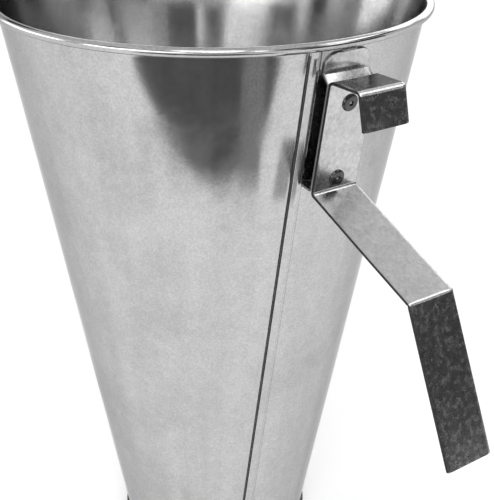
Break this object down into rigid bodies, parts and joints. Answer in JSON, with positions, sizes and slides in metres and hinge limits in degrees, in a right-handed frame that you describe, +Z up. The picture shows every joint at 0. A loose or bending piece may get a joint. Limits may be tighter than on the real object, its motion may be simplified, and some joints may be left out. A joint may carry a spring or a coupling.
{
  "type": "hanging sheet-metal funnel",
  "caption": "Steep sheet-steel cone funnel, open at both ends, with a wired rim, a folded seam, a rubber-trimmed outlet and a riveted flat-strip hanger with hook and leg.",
  "frame": {"origin": "centre of the outlet, at the foot of its trim", "axes": "+Z up the cone's axis from the outlet to the rim, +X out through the middle of the hanger"},
  "size_m": [0.3563, 0.255, 0.369],
  "materials": {
    "galvanised_sheet": "dull galvanised, faint spangle",
    "steel_wire": "drawn wire",
    "black_rubber": "matt, dusty",
    "bracket_steel": "galvanised strip, mottled",
    "rivet_metal": "satin",
    "mandrel_steel": "broken wire end",
    "weld_metal": "dull, uneven"
  },
  "bodies": {
    "root": {"cone_shell": "galvanised_sheet", "rim_wire": "steel_wire", "outlet_trim": "black_rubber", "standoff_plate": "bracket_steel", "hanger_strip": "bracket_steel", "upper_rivet_body": "rivet_metal", "upper_rivet_mandrel": "mandrel_steel", "lower_rivet_body": "rivet_metal", "lower_rivet_mandrel": "mandrel_steel", "ear_weld": "weld_metal", "lip_welds": "weld_metal"}
  },
  "joints": []
}
